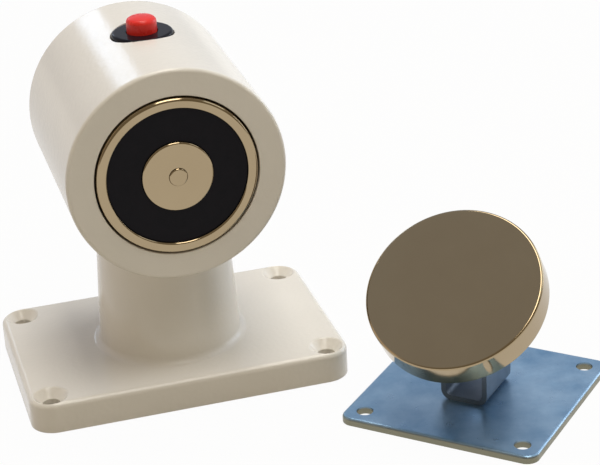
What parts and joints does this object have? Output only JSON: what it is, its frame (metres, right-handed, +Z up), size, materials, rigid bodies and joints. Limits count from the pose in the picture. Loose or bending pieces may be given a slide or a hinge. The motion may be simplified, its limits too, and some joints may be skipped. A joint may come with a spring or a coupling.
{
  "type": "electromagnetic door holder",
  "caption": "White cast magnet unit with a round pot magnet and red release button on a screw-down base, beside its keeper: a tilting round steel disc on a square plate.",
  "frame": {"origin": "middle of the magnet unit's base underside, between its fixing holes", "axes": "+X along the base's long side, -Y the way the magnet faces, +Z up from the mounting surface"},
  "size_m": [0.181, 0.1403, 0.1181],
  "materials": {
    "white_paint": "warm white powder coat with fine orange peel on an aluminium casting",
    "nickel_plate": "bright nickel plating over turned steel",
    "black_potting": "satin black filling compound",
    "bobbin_plastic": "natural moulded plastic",
    "copper_wire": "enamelled copper wire",
    "spring_steel": "drawn spring wire",
    "screw_steel": "zinc plated screws",
    "black_plastic": "glossy black moulding",
    "brown_laminate": "insulating laminate",
    "brass_parts": "stamped and turned brass",
    "red_plastic": "glossy red moulding",
    "block_plastic": "natural moulded plastic",
    "red_insulation": "flexible lead insulation",
    "black_insulation": "flexible lead insulation",
    "zinc_plate": "blue passivated zinc on pressed steel",
    "nylon": "nylon",
    "black_rubber": "soft black rubber"
  },
  "bodies": {
    "base": {"housing": "white_paint", "magnet_pot": "nickel_plate", "potting_ring": "black_potting", "coil_bobbin": "bobbin_plastic", "coil_winding": "copper_wire", "ejector_spring": "spring_steel", "button_spring": "spring_steel", "ejector_plug": "screw_steel", "fixing_screw": "screw_steel", "lock_washer": "screw_steel", "terminal_screws": "screw_steel", "terminal_fixing_screw": "screw_steel", "switch_body": "black_plastic", "switch_nut": "black_plastic", "switch_base": "brown_laminate", "switch_terminals": "brass_parts", "terminal_clamps": "brass_parts", "terminal_block": "block_plastic", "lead_feed": "red_insulation", "lead_coil": "red_insulation", "lead_return": "black_insulation", "keeper_plate": "zinc_plate", "keeper_bracket": "zinc_plate", "hinge_pin": "zinc_plate", "friction_washers": "nylon"},
    "button": {"button_cap": "red_plastic", "contact_bridge": "brass_parts"},
    "ejector": {"ejector_pin": "nickel_plate"},
    "keeper_head": {"tilt_yoke": "zinc_plate", "armature_disc": "nickel_plate", "rubber_washer": "black_rubber", "armature_screw": "screw_steel"}
  },
  "joints": [
    {"name": "button_press", "type": "slide", "parent": "base", "child": "button", "axis": [0, 0, -1], "range_m": [0, 0.002], "stiffness_N_per_m": 800, "springref_m": -0.002, "deforming": ["button_spring"]},
    {"name": "ejector_press", "type": "slide", "parent": "base", "child": "ejector", "axis": [0, 1, 0], "range_m": [0, 0.0006], "stiffness_N_per_m": 1500, "springref_m": -0.002, "deforming": ["ejector_spring"]},
    {"name": "keeper_tilt", "type": "hinge", "parent": "base", "child": "keeper_head", "pos_m": [0.0847, -0.0605, 0.0233], "axis": [0.7218, -0.6921, 0], "range_deg": [-106, 34]}
  ]
}
